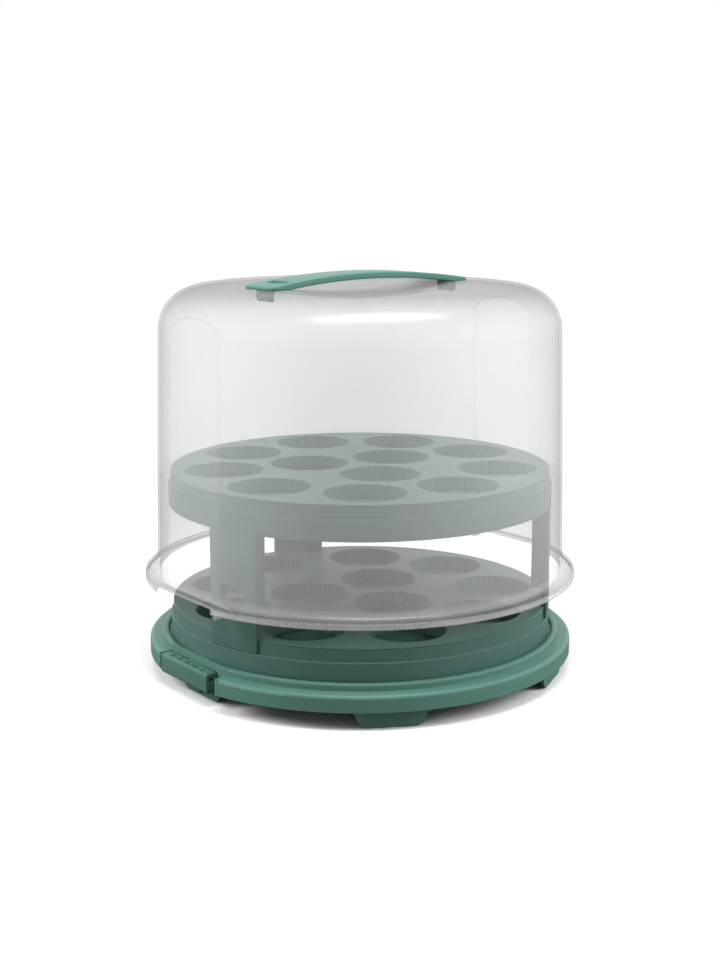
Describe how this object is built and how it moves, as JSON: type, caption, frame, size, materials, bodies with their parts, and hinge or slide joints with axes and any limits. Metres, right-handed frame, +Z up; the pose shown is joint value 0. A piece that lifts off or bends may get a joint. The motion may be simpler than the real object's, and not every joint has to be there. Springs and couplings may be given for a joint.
{
  "type": "cake keeper",
  "caption": "Round cake keeper with a clear lift-off dome and strap handle, stacked muffin trays with fluted cups on plate legs, and a footed base with sliding latches.",
  "frame": {"origin": "middle of the base on the ground, under its feet", "axes": "+Z up, X through the two latches and along the strap handle"},
  "size_m": [0.3458, 0.355, 0.3232],
  "materials": {
    "base": "moulded satin",
    "latch": "moulded satin",
    "tray": "moulded satin",
    "leg": "moulded satin",
    "dome": "clear, slightly hazy",
    "handle": "moulded satin"
  },
  "bodies": {
    "base": {"base_plate": "base"},
    "left_latch": {"latch_left": "latch"},
    "right_latch": {"latch_right": "latch"},
    "lower_tier": {"lower_tray": "tray"},
    "upper_tier": {"upper_tray": "tray", "tray_leg_1": "leg", "tray_leg_2": "leg", "tray_leg_3": "leg"},
    "lid": {"dome": "dome", "handle": "handle"}
  },
  "joints": [
    {"name": "left_latch_slide", "type": "slide", "parent": "base", "child": "left_latch", "axis": [0, -1, 0], "range_m": [0, 0.0094]},
    {"name": "right_latch_slide", "type": "slide", "parent": "base", "child": "right_latch", "axis": [0, 1, 0], "range_m": [0, 0.0094]},
    {"name": "lower_tray_lift", "type": "slide", "parent": "base", "child": "lower_tier", "axis": [0, 0, 1], "range_m": [0, 0.1]},
    {"name": "upper_tray_lift", "type": "slide", "parent": "lower_tier", "child": "upper_tier", "axis": [0, 0, 1], "range_m": [0, 0.12]},
    {"name": "dome_lift", "type": "slide", "parent": "upper_tier", "child": "lid", "axis": [0, 0, 1], "range_m": [-0.053, 0.22]}
  ]
}
